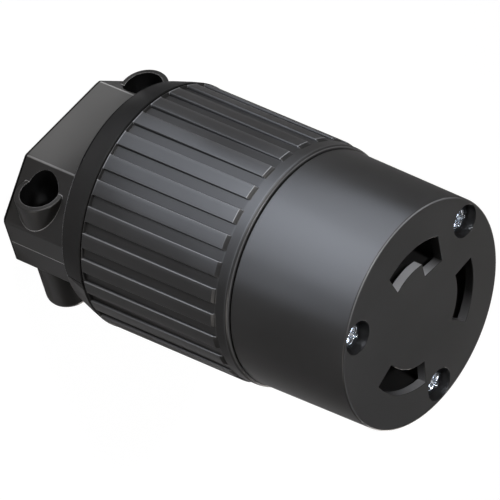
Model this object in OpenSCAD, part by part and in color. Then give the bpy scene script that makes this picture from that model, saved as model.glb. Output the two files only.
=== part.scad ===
// Locking cord connector with three curved slots, a ribbed grip and a two-part cord clamp.
// It stands on its cord end: the mating face looks up along +Z and the clamp cap looks towards -Y.

/* [Lengths along the axis] */
// Length of the cord clamp behind its collar
clamp_len = 19.1; // [17:0.1:30]
// Length of the collar that hooks over the shell's neck
collar_len = 7.1; // [6.5:0.1:12]
// Length of the ribbed grip
grip_len = 37.4; // [34:0.1:70]
// Length of the smooth band in front of the ribs
band_len = 3.5; // [1.5:0.1:8]
// Length of the nose in front of the shell
nose_len = 30.5; // [24:0.1:50]

/* [Nose] */
// Radius of the nose at its face
nose_face_r = 26.4; // [25:0.1:32]
// How much wider the nose is at the shell than at its face
nose_draft = 0.7; // [0.2:0.1:2]
// Bevel round the edge of the face
face_bevel = 0.4; // [0.2:0.1:1]
// Thickness of the face around the slots
face_t = 2.2; // [1.5:0.1:4]
// Length of the spigot that the nose puts into the shell
spigot_len = 3; // [2:0.5:6]
// Width of the shadow line between the nose and the shell
rim_gap = 0.3; // [0.1:0.05:0.8]

/* [Slots] */
// Radius of the circle through the middle of the slots
slot_mid_r = 15.35; // [14.5:0.05:16.5]
// Radial width of each slot
slot_w = 5.7; // [4.5:0.1:6.5]
// Angle that the ground slot spans
ground_span = 52; // [46:0.5:56]
// Angle that the first line slot spans
line_1_span = 50.5; // [40:0.5:56]
// Angle that the second line slot spans
line_2_span = 59; // [50:0.5:64]
// Width of the ground slot's straight leg
leg_w = 6.1; // [4.5:0.1:7]
// Offset of the leg's middle from the axis, sideways
leg_offset = 6.95; // [5:0.05:8]
// Distance of the leg's inner end from the axis
leg_reach = 8; // [6.5:0.1:9]
// How much wider a pocket is than its slot, on each side
pocket_relief = 0.8; // [0.4:0.1:1.2]

/* [Grip] */
// Step from the nose out to the shell
rim_step = 0.65; // [0.3:0.05:2]
// Wall of the shell between its bore and the grooves
shell_wall = 2.35; // [1.8:0.05:4]
// Rounding of the shell's rim, along the axis
rim_round_len = 0.9; // [0.4:0.05:1.2]
// Rounding of the shell's rim, across it
rim_round = 0.5; // [0.3:0.05:0.6]
// Number of raised ribs round the grip
rib_count = 29; // [12:1:40]
// Share of the pitch that a rib takes
rib_share = 0.57; // [0.4:0.01:0.7]
// Turn of the ribs away from the clamp's middle, in degrees
rib_turn = 1.1; // [0:0.1:6]
// Height of a rib at its front end
rib_front_h = 0.4; // [0.2:0.05:1]
// Height of a rib at its rear end
rib_rear_h = 0.85; // [0.3:0.05:1.5]
// Length of the bevel at the front end of a rib
rib_bevel = 0.85; // [0.3:0.05:1.5]
// Width of the thin lip behind the ribs' rear ends
rib_lip = 0.3; // [0.1:0.05:0.8]
// Ledge in the bore that carries the contact carrier
ledge_w = 0.8; // [0.5:0.1:1.5]
// Thickness of the shell's rear wall
rear_wall_t = 2.6; // [2:0.1:4]
// Radius of each screw boss inside the shell
boss_r = 4.3; // [4:0.1:5]

/* [Collar and neck] */
// Step from the ribs' rear ends out to the collar
collar_step = 0.1; // [0:0.05:0.5]
// How much narrower the collar is at its rear edge
collar_taper = 1.75; // [0.5:0.05:2.5]
// Bevel round the collar's front edge
collar_front_bevel = 0.5; // [0.2:0.05:0.8]
// Bevel round the collar's rear edge
collar_rear_bevel = 0.35; // [0.1:0.05:0.6]
// How far the seam in the collar rises towards the cap at the front edge
collar_seam_rise = 2.1; // [0:0.1:2.5]
// Wall of the collar around the neck's flange
collar_wall = 2.2; // [1.6:0.1:3]
// Depth of the hook between flange and neck
hook_depth = 2; // [1.2:0.1:2.6]
// Thickness of the collar's hook
hook_t = 2.4; // [1.8:0.1:3]
// Thickness of the neck's flange
flange_t = 2.4; // [1.8:0.1:3]
// Wall of the neck
neck_wall = 2.6; // [2:0.1:3.4]
// Seam between the collar and the shell
seam_gap = 0.2; // [0.1:0.05:0.5]

/* [Clamp] */
// Width of the clamp across its sides
clamp_w = 49.2; // [46:0.2:52]
// Height of the clamp from top to bottom
clamp_h = 33; // [30:0.2:38]
// Width of the flat on top and below
flat_w = 26; // [22:0.5:28]
// Height of the upright sides
side_h = 12.2; // [8:0.2:15]
// Rounding of the clamp's long edges
clamp_round = 1.2; // [0.5:0.1:2]
// Bevel round the cord end
cord_end_bevel = 0.6; // [0.2:0.1:1]
// Wall of the hollow clamp halves
clamp_wall = 2.6; // [2:0.1:3.2]
// Wall at the cord end
end_wall_t = 3; // [2:0.5:5]
// Gap between the two halves
clamp_gap = 0.2; // [0.1:0.05:1]
// Radius of the passage for the cord
cord_r = 11; // [8:0.5:12]
// Number of gripping ribs inside each half
grip_rib_count = 2; // [1:1:3]
// Thickness of each gripping rib
grip_rib_t = 2; // [1.5:0.1:3]

/* [Clamp screws] */
// Distance of each clamp screw from the axis
clamp_screw_x = 18.45; // [17.5:0.05:19.5]
// Height of the clamp screws above the cord end
clamp_screw_z = 8.2; // [7:0.1:9]
// Outer radius of the screw wells and bosses
well_r = 5.75; // [5.4:0.05:6]
// Wall of the screw wells
well_wall = 1.25; // [1:0.05:1.4]
// Distance of the wells' rims from the parting plane
well_top = 13.05; // [11:0.05:15]
// Rounding of the wells' rims
well_lip = 0.4; // [0.1:0.05:0.5]
// Depth of the closed bosses below the parting plane
boss_drop = 18.5; // [16.8:0.1:20]
// Rounding at the bottom of the closed bosses
boss_round = 1.5; // [0.5:0.1:2]
// Height of the screw seat above the parting plane
clamp_seat = 2.5; // [2:0.1:4]
// Length of a clamp screw under its head
clamp_screw_len = 13; // [11:0.5:14]

/* [Face screws] */
// Radius of the circle that the face screws stand on
screw_ring_r = 22; // [21.6:0.05:22.2]
// Radius of the wells for the screw heads
head_well_r = 3.85; // [3.6:0.05:4]
// Depth of the screw seats below the face
head_seat_depth = 4.2; // [3.6:0.1:8]
// How far a face screw reaches past its insert's rim
screw_bite = 8; // [5:0.5:8.5]

/* [Screw and insert sizes] */
// Radius of a screw's thread
thread_r = 1.75; // [1.5:0.05:2]
// Radius of a screw's head
head_r = 3.45; // [3:0.05:3.55]
// Height of a screw's head
head_h = 2.4; // [1.8:0.1:3]
// Width of the arms of the cross recess
recess_w = 0.9; // [0.6:0.1:1.2]
// Length across the cross recess
recess_span = 3.6; // [2.6:0.1:4]
// Depth of the cross recess
recess_depth = 1.3; // [0.6:0.1:1.6]
// Radius of a threaded insert
insert_r = 2.9; // [2.6:0.1:3.2]
// Length of a threaded insert
insert_len = 9; // [6:0.5:9.5]

/* [Contacts and terminals] */
// Depth of the contact tips below the face
tip_depth = 11; // [8:0.5:14]
// Thickness of the contact leaves
leaf_t = 0.9; // [0.6:0.1:1.2]
// Width of the gap where the leaves pinch a blade
pinch = 2.4; // [1.6:0.1:3]
// Thickness of a contact's root
root_t = 1.2; // [0.8:0.1:2]
// Thickness of the terminal tabs
tab_t = 1.5; // [1:0.1:2]
// Width of the terminal tabs
tab_w = 8; // [7:0.5:10]
// Length of the terminal tabs below the carrier
tab_len = 14; // [12:0.5:16]
// Distance of the terminal screws below the carrier
terminal_drop = 8; // [6:0.5:9]
// Length of a terminal screw under its head
terminal_screw_len = 7; // [5:0.5:8]
// Thickness of the wire plates
wire_plate_t = 1.8; // [1.4:0.1:2.5]
// Width and height of the wire plates
wire_plate_w = 8.5; // [7:0.5:10]
// Thickness of the contact carrier
carrier_t = 5; // [4:0.5:7]
// Thickness of the walls between the terminals
divider_t = 2; // [1.5:0.1:3]
// Length of the walls between the terminals
divider_len = 16; // [12:0.5:18]
// Reach of the walls from the axis
divider_reach = 16; // [12:0.5:16.5]

/* [Clearances] */
// Sliding fit between nose, carrier and shell
fit_gap = 0.15; // [0.05:0.05:0.3]
// Fit between the collar and the neck
seat_gap = 0.15; // [0.05:0.05:0.3]
// Room between a thread and its nut
thread_gap = 0.05; // [0.02:0.01:0.1]
// Room around a screw in a plain hole
hole_gap = 0.2; // [0.1:0.05:0.35]
// Room around an insert, a tab or a contact in its seat
press_gap = 0.1; // [0.02:0.01:0.15]

/* [Hidden] */
$fn = 96;
CUT = 1;

// Finishes
NYLON = [0.17, 0.17, 0.18];
INSULATOR = [0.24, 0.23, 0.22];
BRASS = [0.80, 0.64, 0.30];
ZINC = [0.78, 0.80, 0.83];

// Heights along the axis, from the cord end
z_collar = clamp_len;
z_grip = z_collar + collar_len;
z_band = z_grip + grip_len;
z_rim = z_band + band_len;
z_face = z_rim + nose_len;
z_spigot = z_rim - spigot_len;
z_seat = z_spigot - carrier_t;
z_head = z_face - head_seat_depth;
z_hook = z_grip - seam_gap - hook_t;
z_flange_top = z_hook - seat_gap;
z_flange = z_flange_top - flange_t;
z_shoulder = z_flange - seat_gap;
z_chamber = z_grip + rear_wall_t;
z_terminal = z_seat - terminal_drop;

// Radii, from the nose outwards and from the collar inwards
nose_root_r = nose_face_r + nose_draft;
shell_r = nose_root_r + rim_step;
shell_bore_r = shell_r - shell_wall;
spigot_r = shell_bore_r - fit_gap;
chamber_r = shell_bore_r - ledge_w;
collar_front_r = shell_r + rib_rear_h + collar_step;
collar_rear_r = collar_front_r - collar_taper;
groove_r = collar_rear_r - collar_wall;
flange_r = groove_r - seat_gap;
neck_r = flange_r - hook_depth;
neck_bore_r = neck_r - neck_wall;
slot_in_r = slot_mid_r - slot_w / 2;
slot_out_r = slot_mid_r + slot_w / 2;
well_bore_r = well_r - well_wall;
clear_r = thread_r + hole_gap;

// Angles about the axis, counter-clockwise from +X
SCREW_ANGLES = [90, 210, 330];
GROUND_ANGLE = -93;
LINE_1_ANGLE = 156.8;
LINE_2_ANGLE = 49.2;
LEG_OVERRUN = 12;
CONTACTS = [[LINE_1_ANGLE, line_1_span], [LINE_2_ANGLE, line_2_span], [GROUND_ANGLE, ground_span]];
DIVIDER_ANGLES = [
    (LINE_1_ANGLE + LINE_2_ANGLE) / 2,
    (LINE_2_ANGLE + GROUND_ANGLE) / 2,
    (GROUND_ANGLE + 360 + LINE_1_ANGLE) / 2
];

// A corner of an outline turned into an arc of radius r, between the corners before and after it
function corner_arc(before, at, after, r, steps = 5) =
    let (
        u = (before - at) / norm(before - at),
        v = (after - at) / norm(after - at),
        half = acos(u * v) / 2,
        middle = at + (u + v) / norm(u + v) * r / sin(half),
        start = at + u * r / tan(half) - middle,
        finish = at + v * r / tan(half) - middle,
        a = atan2(start.y, start.x),
        turn = atan2(start.x * finish.y - start.y * finish.x, start * finish)
    )
    [for (i = [0:steps]) middle + r * [cos(a + turn * i / steps), sin(a + turn * i / steps)]];

// An outline with every corner rounded
function rounded(points, r) =
    let (n = len(points))
    [for (i = [0:n - 1]) each corner_arc(points[(i + n - 1) % n], points[i], points[(i + 1) % n], r)];

// The clamp's eight corners, drawn in by the given inset on every side
function clamp_corners(inset) =
    let (
        slope = atan2((clamp_h - side_h) / 2, (clamp_w - flat_w) / 2),
        x = clamp_w / 2 - inset,
        y = clamp_h / 2 - inset,
        fx = flat_w / 2 - inset * tan(slope / 2),
        sy = side_h / 2 - inset * tan((90 - slope) / 2)
    )
    [[x, -sy], [x, sy], [fx, y], [-fx, y], [-x, sy], [-x, -sy], [-fx, -y], [fx, -y]];

// A block bent round the axis
module arc_block(r_in, r_out, angle, span, z_low, z_high) {
    rotate([0, 0, angle - span / 2])
        rotate_extrude(angle = span)
            translate([r_in, z_low])
                square([r_out - r_in, z_high - z_low]);
}

// A pan-head screw standing on its point, with the seat of its head at z = 0
module pan_screw(length) {
    crown = head_h / 3;
    difference() {
        union() {
            rotate_extrude()
                polygon([
                    [0, -length], [thread_r - crown / 2, -length], [thread_r, -length + crown / 2],
                    [thread_r, 0], [head_r, 0], [head_r, head_h - crown], [head_r - crown / 3, head_h - crown / 2],
                    [head_r - crown, head_h - crown / 8], [head_r / 2, head_h], [0, head_h]
                ]);
        }
        for (turn = [0, 90])
            rotate([0, 0, turn])
                translate([-recess_span / 2, -recess_w / 2, head_h - recess_depth])
                    cube([recess_span, recess_w, recess_depth + CUT]);
    }
}

// A threaded sleeve whose rim is at z = 0
module insert_sleeve() {
    groove = insert_r / 8;
    rotate_extrude()
        polygon([
            [thread_r + thread_gap, -insert_len], [insert_r, -insert_len], [insert_r, -insert_len * 0.6],
            [insert_r - groove, -insert_len * 0.55], [insert_r - groove, -insert_len * 0.45],
            [insert_r, -insert_len * 0.4], [insert_r, 0], [thread_r + thread_gap, 0]
        ]);
}

// The seat of an insert, open upwards
module insert_seat() {
    translate([0, 0, -insert_len])
        cylinder(r = insert_r + press_gap, h = insert_len + CUT);
}

// Nose with the mating face
module slot_cut(angle, span) {
    arc_block(slot_in_r, slot_out_r, angle, span, z_face - face_t - CUT, z_face + CUT);
}

module pocket_cut(angle, span) {
    relief_angle = pocket_relief / slot_mid_r * 180 / PI;
    arc_block(
        slot_in_r - pocket_relief, slot_out_r + pocket_relief, angle, span + 2 * relief_angle,
        z_spigot - CUT, z_face - face_t
    );
}

// The ground slot's arc runs on into its straight leg, and one flat side ends both
module ground_cut() {
    leg_side = leg_offset + leg_w / 2;
    intersection() {
        union() {
            slot_cut(GROUND_ANGLE - LEG_OVERRUN / 2, ground_span + LEG_OVERRUN);
            translate([-leg_side - CUT, -slot_mid_r, z_face - tip_depth])
                cube([leg_w + CUT, slot_mid_r - leg_reach, tip_depth + 2 * CUT]);
        }
        translate([-leg_side, -2 * slot_out_r, z_face - 2 * tip_depth])
            cube([4 * leg_side, 2 * slot_out_r, 4 * tip_depth]);
    }
}

module front_body() {
    color(NYLON)
        difference() {
            rotate_extrude()
                polygon([
                    [0, z_spigot], [spigot_r, z_spigot], [spigot_r, z_rim + rim_gap],
                    [nose_root_r, z_rim + rim_gap], [nose_face_r, z_face - face_bevel],
                    [nose_face_r - face_bevel, z_face], [0, z_face]
                ]);
            slot_cut(LINE_1_ANGLE, line_1_span);
            slot_cut(LINE_2_ANGLE, line_2_span);
            ground_cut();
            for (c = CONTACTS)
                pocket_cut(c[0], c[1]);
            for (a = SCREW_ANGLES)
                rotate([0, 0, a])
                    translate([screw_ring_r, 0, 0]) {
                        translate([0, 0, z_spigot - CUT])
                            cylinder(r = clear_r, h = z_face - z_spigot + 2 * CUT);
                        translate([0, 0, z_head])
                            cylinder(r = head_well_r, h = head_seat_depth + CUT);
                    }
        }
}

// Contacts and the carrier behind them
module contact(angle, span) {
    r_low = slot_in_r - pocket_relief + press_gap;
    r_high = slot_out_r + pocket_relief - press_gap;
    flare = leaf_t / 2;
    z_tip = z_face - tip_depth;
    z_root = z_spigot + press_gap;
    z_pinch = z_root + (z_tip - z_root) * 0.75;
    pinch_low = slot_mid_r - pinch / 2;
    pinch_high = slot_mid_r + pinch / 2;
    color(BRASS)
        difference() {
            union() {
                rotate([0, 0, angle - span / 2])
                    rotate_extrude(angle = span)
                        polygon([
                            [r_low, z_root], [r_high, z_root], [pinch_high + leaf_t, z_pinch],
                            [r_high - flare, z_tip], [r_high - flare - leaf_t, z_tip], [pinch_high, z_pinch],
                            [r_high - leaf_t, z_root + root_t], [r_low + leaf_t, z_root + root_t],
                            [pinch_low, z_pinch], [r_low + flare + leaf_t, z_tip], [r_low + flare, z_tip],
                            [pinch_low - leaf_t, z_pinch]
                        ]);
                rotate([0, 0, angle])
                    translate([slot_mid_r - tab_t / 2, -tab_w / 2, z_seat - tab_len])
                        cube([tab_t, tab_w, z_root - z_seat + tab_len + root_t / 2]);
            }
            rotate([0, 0, angle])
                translate([slot_mid_r, 0, z_terminal])
                    rotate([0, 90, 0])
                        cylinder(r = clear_r, h = 4 * tab_t, center = true);
        }
}

module line_contact_1() {
    contact(LINE_1_ANGLE, line_1_span);
}

module line_contact_2() {
    contact(LINE_2_ANGLE, line_2_span);
}

module ground_contact() {
    contact(GROUND_ANGLE, ground_span);
}

module contact_carrier() {
    color(INSULATOR)
        difference() {
            union() {
                translate([0, 0, z_seat])
                    cylinder(r = spigot_r, h = carrier_t);
                translate([0, 0, z_seat - divider_len - divider_t / 2])
                    cylinder(r = 1.5 * divider_t, h = divider_len + divider_t / 2 + carrier_t / 3);
                for (a = DIVIDER_ANGLES)
                    rotate([0, 0, a])
                        translate([0, -divider_t / 2, z_seat - divider_len])
                            cube([divider_reach, divider_t, divider_len + carrier_t / 2]);
            }
            for (c = CONTACTS)
                rotate([0, 0, c[0]])
                    translate([slot_mid_r - tab_t / 2 - press_gap, -tab_w / 2 - press_gap, z_seat - CUT])
                        cube([tab_t + 2 * press_gap, tab_w + 2 * press_gap, carrier_t + 2 * CUT]);
            for (a = SCREW_ANGLES)
                rotate([0, 0, a])
                    translate([screw_ring_r, 0, z_seat - CUT])
                        cylinder(r = clear_r, h = carrier_t + 2 * CUT);
        }
}

// Moves a terminal's pieces to the tab of one contact, with the outward side of the tab at z = 0
module at_terminal(angle) {
    rotate([0, 0, angle])
        translate([slot_mid_r + tab_t / 2, 0, z_terminal])
            rotate([0, 90, 0])
                children();
}

module terminal_screw(angle) {
    color(BRASS)
        at_terminal(angle)
            pan_screw(terminal_screw_len);
}

module wire_plate(angle) {
    color(BRASS)
        at_terminal(angle)
            difference() {
                translate([-wire_plate_w / 2, -wire_plate_w / 2, -tab_t - press_gap - wire_plate_t])
                    cube([wire_plate_w, wire_plate_w, wire_plate_t]);
                translate([0, 0, -tab_t - wire_plate_t - CUT])
                    cylinder(r = thread_r + thread_gap, h = wire_plate_t + CUT);
            }
}

// Face screws and their inserts
module face_screw(i) {
    color(ZINC)
        rotate([0, 0, SCREW_ANGLES[i]])
            translate([screw_ring_r, 0, z_head])
                pan_screw(z_head - z_seat + screw_bite);
}

module screw_insert(i) {
    color(BRASS)
        rotate([0, 0, SCREW_ANGLES[i]])
            translate([screw_ring_r, 0, z_seat])
                insert_sleeve();
}

// Ribbed grip shell
module rib() {
    pitch = 360 / rib_count;
    span = pitch * rib_share;
    root = shell_r - shell_wall / 3;
    rotate([0, 0, -span / 2])
        rotate_extrude(angle = span)
            polygon([
                [root, z_grip + rib_lip], [shell_r + rib_rear_h, z_grip + rib_lip],
                [shell_r + rib_front_h, z_band - rib_bevel], [shell_r + rib_front_h / 6, z_band],
                [root, z_band]
            ]);
}

module grip_shell() {
    rim_curve = [
        for (a = [0:22.5:90])
            [shell_r - rim_round * (1 - cos(a)), z_rim - rim_round_len * (1 - sin(a))]
    ];
    color(NYLON)
        difference() {
            union() {
                rotate_extrude()
                    polygon(concat(
                        [
                            [neck_bore_r, z_flange], [flange_r, z_flange], [flange_r, z_flange_top],
                            [neck_r, z_flange_top], [neck_r, z_grip], [shell_r, z_grip]
                        ],
                        rim_curve,
                        [
                            [shell_bore_r, z_rim], [shell_bore_r, z_seat], [chamber_r, z_seat],
                            [chamber_r, z_chamber], [neck_bore_r, z_chamber]
                        ]
                    ));
                for (i = [0:rib_count - 1])
                    rotate([0, 0, rib_turn - 90 + 360 / rib_count * i])
                        rib();
                for (a = SCREW_ANGLES)
                    rotate([0, 0, a])
                        translate([screw_ring_r, 0, z_chamber - rear_wall_t / 2])
                            cylinder(r = boss_r, h = z_seat - seat_gap - z_chamber + rear_wall_t / 2);
            }
            for (a = SCREW_ANGLES)
                rotate([0, 0, a])
                    translate([screw_ring_r, 0, z_seat])
                        insert_seat();
        }
}

// Cord clamp: the form that both halves share, before it is parted
module clamp_outside() {
    c = cord_end_bevel;
    translate([0, 0, c])
        linear_extrude(height = z_shoulder - c)
            polygon(rounded(clamp_corners(0), clamp_round));
    mirror([0, 0, 1])
        translate([0, 0, -c])
            linear_extrude(height = c, scale = [1 - 2 * c / clamp_w, 1 - 2 * c / clamp_h], slices = 1, $fn = 0)
                polygon(rounded(clamp_corners(0), clamp_round));
    rotate_extrude()
        polygon([
            [0, z_collar], [collar_rear_r - collar_rear_bevel, z_collar],
            [collar_rear_r, z_collar + collar_rear_bevel],
            [collar_front_r, z_grip - seam_gap - collar_front_bevel],
            [collar_front_r - collar_front_bevel, z_grip - seam_gap], [0, z_grip - seam_gap]
        ]);
}

module clamp_hollow() {
    translate([0, 0, end_wall_t])
        linear_extrude(height = z_shoulder + CUT / 2 - end_wall_t)
            polygon(rounded(clamp_corners(clamp_wall), clamp_round / 2));
    translate([0, 0, z_shoulder])
        cylinder(r = groove_r, h = z_hook - z_shoulder);
    translate([0, 0, z_shoulder])
        cylinder(r = neck_r + seat_gap, h = z_grip - z_shoulder);
}

module grip_ribs() {
    pitch = (z_collar - end_wall_t) / grip_rib_count;
    for (i = [1:grip_rib_count])
        translate([0, 0, end_wall_t + pitch * (i - 0.3) - grip_rib_t / 2])
            linear_extrude(height = grip_rib_t)
                polygon(clamp_corners(clamp_wall / 2));
}

module at_clamp_screws() {
    for (side = [-1, 1])
        translate([side * clamp_screw_x, 0, clamp_screw_z])
            rotate([90, 0, 0])
                children();
}

module clamp_body() {
    difference() {
        union() {
            difference() {
                clamp_outside();
                clamp_hollow();
            }
            grip_ribs();
        }
        translate([0, 0, -CUT])
            cylinder(r = cord_r, h = z_shoulder);
    }
}

// Keeps the half of its children on one side of the seam: -1 is the cap, 1 is the base
module half(side) {
    reach = 2 * collar_front_r;
    y_seam = side * clamp_gap / 2;
    y_front = y_seam - collar_seam_rise;
    intersection() {
        children();
        translate([-reach, 0, 0])
            rotate([90, 0, 90])
                linear_extrude(height = 2 * reach)
                    polygon([
                        [y_seam, -CUT], [y_seam, z_collar], [y_front, z_grip - seam_gap], [y_front, z_grip + CUT],
                        [side * reach, z_grip + CUT], [side * reach, -CUT]
                    ]);
    }
}

module clamp_cap() {
    color(NYLON)
        difference() {
            half(-1) {
                union() {
                    clamp_body();
                    at_clamp_screws()
                        rotate_extrude()
                            polygon(concat(
                                [[0, well_top], [0, 0], [well_r, 0]],
                                corner_arc([well_r, 0], [well_r, well_top], [0, well_top], well_lip)
                            ));
                }
            }
            at_clamp_screws() {
                translate([0, 0, clamp_seat])
                    cylinder(r = well_bore_r, h = clamp_h);
                cylinder(r = clear_r, h = clamp_h);
            }
        }
}

module clamp_base() {
    color(NYLON)
        difference() {
            half(1) {
                union() {
                    clamp_body();
                    at_clamp_screws()
                        mirror([0, 0, 1])
                            rotate_extrude()
                                polygon(concat(
                                    [[0, boss_drop], [0, 0], [well_r, 0]],
                                    corner_arc([well_r, 0], [well_r, boss_drop], [0, boss_drop], boss_round)
                                ));
                }
            }
            at_clamp_screws() {
                translate([0, 0, -clamp_gap / 2])
                    insert_seat();
                translate([0, 0, clamp_seat - clamp_screw_len - CUT])
                    cylinder(r = clear_r, h = clamp_screw_len);
            }
        }
}

// Clamp screws and their inserts; side -1 is at -X
module clamp_screw(side) {
    color(ZINC)
        translate([side * clamp_screw_x, 0, clamp_screw_z])
            rotate([90, 0, 0])
                translate([0, 0, clamp_seat])
                    pan_screw(clamp_screw_len);
}

module clamp_insert(side) {
    color(BRASS)
        translate([side * clamp_screw_x, 0, clamp_screw_z])
            rotate([90, 0, 0])
                translate([0, 0, -clamp_gap / 2])
                    insert_sleeve();
}

front_body();
contact_carrier();
line_contact_1();
line_contact_2();
ground_contact();
terminal_screw(LINE_1_ANGLE);  // terminal_screw_1
terminal_screw(LINE_2_ANGLE);  // terminal_screw_2
terminal_screw(GROUND_ANGLE);  // terminal_screw_3
wire_plate(LINE_1_ANGLE);  // wire_plate_1
wire_plate(LINE_2_ANGLE);  // wire_plate_2
wire_plate(GROUND_ANGLE);  // wire_plate_3
face_screw(0);  // face_screw_1
face_screw(1);  // face_screw_2
face_screw(2);  // face_screw_3
screw_insert(0);  // screw_insert_1
screw_insert(1);  // screw_insert_2
screw_insert(2);  // screw_insert_3
grip_shell();
clamp_cap();
clamp_base();
clamp_screw(-1);  // clamp_screw_1
clamp_screw(1);  // clamp_screw_2
clamp_insert(-1);  // clamp_insert_1
clamp_insert(1);  // clamp_insert_2
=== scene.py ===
# %% [markdown]
# A locking cord connector: a round nose with curved slots, a ribbed grip and a two-part cord clamp.
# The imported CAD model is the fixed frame. This lesson gives every piece its finish, and builds the
# pieces that the eye rests on again as smooth surfaces with rounded edges.

# %% Load the frame
import math
from functools import reduce

import bmesh
import bpy
import numpy as np
from mathutils import Matrix, Vector
from mathutils.geometry import delaunay_2d_cdt


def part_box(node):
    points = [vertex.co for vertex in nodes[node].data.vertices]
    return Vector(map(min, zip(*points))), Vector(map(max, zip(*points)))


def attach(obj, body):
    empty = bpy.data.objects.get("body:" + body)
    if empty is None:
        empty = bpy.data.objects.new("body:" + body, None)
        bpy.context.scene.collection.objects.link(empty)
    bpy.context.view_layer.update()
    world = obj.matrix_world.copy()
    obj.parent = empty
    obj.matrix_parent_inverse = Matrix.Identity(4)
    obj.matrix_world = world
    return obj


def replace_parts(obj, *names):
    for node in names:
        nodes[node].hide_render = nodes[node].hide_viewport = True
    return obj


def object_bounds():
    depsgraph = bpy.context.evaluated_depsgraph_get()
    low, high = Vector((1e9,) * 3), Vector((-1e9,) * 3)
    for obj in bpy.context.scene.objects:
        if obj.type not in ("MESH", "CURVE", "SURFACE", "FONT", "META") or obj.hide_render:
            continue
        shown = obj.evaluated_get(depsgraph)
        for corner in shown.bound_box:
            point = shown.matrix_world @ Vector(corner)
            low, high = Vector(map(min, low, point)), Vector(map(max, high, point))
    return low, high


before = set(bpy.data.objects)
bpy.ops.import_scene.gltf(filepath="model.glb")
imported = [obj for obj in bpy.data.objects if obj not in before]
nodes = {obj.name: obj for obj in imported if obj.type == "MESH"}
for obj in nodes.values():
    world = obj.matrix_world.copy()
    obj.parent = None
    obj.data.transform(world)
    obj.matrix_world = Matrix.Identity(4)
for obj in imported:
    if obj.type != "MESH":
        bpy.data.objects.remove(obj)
cad_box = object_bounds()
MM = 0.001
cad_corners = [[round(v / MM, 1) for v in corner] for corner in cad_box]
print("loaded", len(nodes), "CAD nodes; box in mm:", cad_corners)

# %% [markdown]
# The camera looks at the connector from the front right and from above, and it is rolled, because the
# connector stands on its cord end here but lies on a slope in the picture. A roll turns the camera
# about its own line of sight. It could be done with three Euler angles, but building the three axes
# one after the other keeps each number a thing that can be measured: where, how high, how far, how
# rolled.

# %% Camera
CAMERA_AZIMUTH = math.radians(34.1)
CAMERA_ELEVATION = math.radians(33.29)
CAMERA_ROLL = math.radians(112.95)
CAMERA_DISTANCE = 1025.9 * MM
CAMERA_TARGET = Vector((-1.74, 1.70, 52.43)) * MM
CAMERA_LENS = 338.7
CAMERA_SHIFT = (-0.0282, -0.0087)


def new_object(name, data):
    """A new object in the scene, at the origin."""
    thing = bpy.data.objects.new(name, data)
    bpy.context.scene.collection.objects.link(thing)
    return thing


def place_camera():
    """Level axes first: right lies in the floor plane, back points at the viewer, and up is their cross
    product. Then right and up turn together by the roll."""
    back = Vector((
        math.sin(CAMERA_AZIMUTH) * math.cos(CAMERA_ELEVATION),
        -math.cos(CAMERA_AZIMUTH) * math.cos(CAMERA_ELEVATION),
        math.sin(CAMERA_ELEVATION),
    ))
    level_right = Vector((math.cos(CAMERA_AZIMUTH), math.sin(CAMERA_AZIMUTH), 0))
    level_up = back.cross(level_right)
    right = level_right * math.cos(CAMERA_ROLL) + level_up * math.sin(CAMERA_ROLL)
    up = back.cross(right)
    data = bpy.data.cameras.new("camera")
    data.lens = CAMERA_LENS
    data.sensor_width = 36
    data.shift_x, data.shift_y = CAMERA_SHIFT
    data.clip_start, data.clip_end = 0.05, 50
    camera = new_object("camera", data)
    axes = Matrix((right, up, back)).transposed().to_4x4()
    camera.matrix_world = Matrix.Translation(CAMERA_TARGET + back * CAMERA_DISTANCE) @ axes
    bpy.context.scene.camera = camera
    return camera


camera = place_camera()
print("camera", [round(v / MM) for v in camera.location], "mm, lens", round(CAMERA_LENS), "mm")

# %% [markdown]
# Satin black plastic shows its shape by what it mirrors, and upright walls seen from above mirror the
# floor. So flat light panels lie on the floor in front of the clamp cap, as a photographer would lay
# soft boxes: the broad highlight along the connector is their picture in the plastic. They could be
# one large panel, but several that overlap give the highlight a bright core and soft flanks. Four
# more lamps stand around, and four with a grid in front of them reach only what they point at: the
# slots' walls, the screws and the back. The floor is a white sheet that glows for camera rays only,
# so the background is white without more light on the object, and it still takes the shadow.

# %% Floor, lamps and world
FLOOR_SIZE = 12.0
FLOOR_COLOUR = (0.50, 0.50, 0.505, 1)
FLOOR_GLOW_SEEN = 0.88
FLOOR_GLOW = 1.12
WORLD_GREY = 0.049
COOL, WARM = (0.93, 1.0, 1.14), (1.06, 1.0, 0.94)


def node_tree(owner):
    """Switches nodes on and returns the tree emptied."""
    owner.use_nodes = True
    owner.node_tree.nodes.clear()
    return owner.node_tree


def set_input(tree, socket, value):
    """Links the output of a node to a socket, or gives the socket a plain value."""
    if isinstance(value, bpy.types.NodeSocket):
        tree.links.new(value, socket)
    else:
        socket.default_value = value


def add(tree, kind, **sockets):
    """A new node; each keyword names an input socket (spaces as underscores) and says what goes in."""
    node = tree.nodes.new(kind)
    for name, value in sockets.items():
        set_input(tree, node.inputs[name.replace("_", " ")], value)
    return node


def calculate(tree, operation, first, second=0):
    """One step of arithmetic between two values, each a plain number or the output of a node."""
    node = tree.nodes.new("ShaderNodeMath")
    node.operation = operation
    for socket, value in zip(node.inputs, (first, second)):
        set_input(tree, socket, value)
    return node.outputs[0]


def show(tree, shader, kind="ShaderNodeOutputMaterial"):
    """Joins a shader to the output of its tree."""
    out = tree.nodes.new(kind)
    tree.links.new(shader.outputs[0], out.inputs["Surface"])


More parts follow.
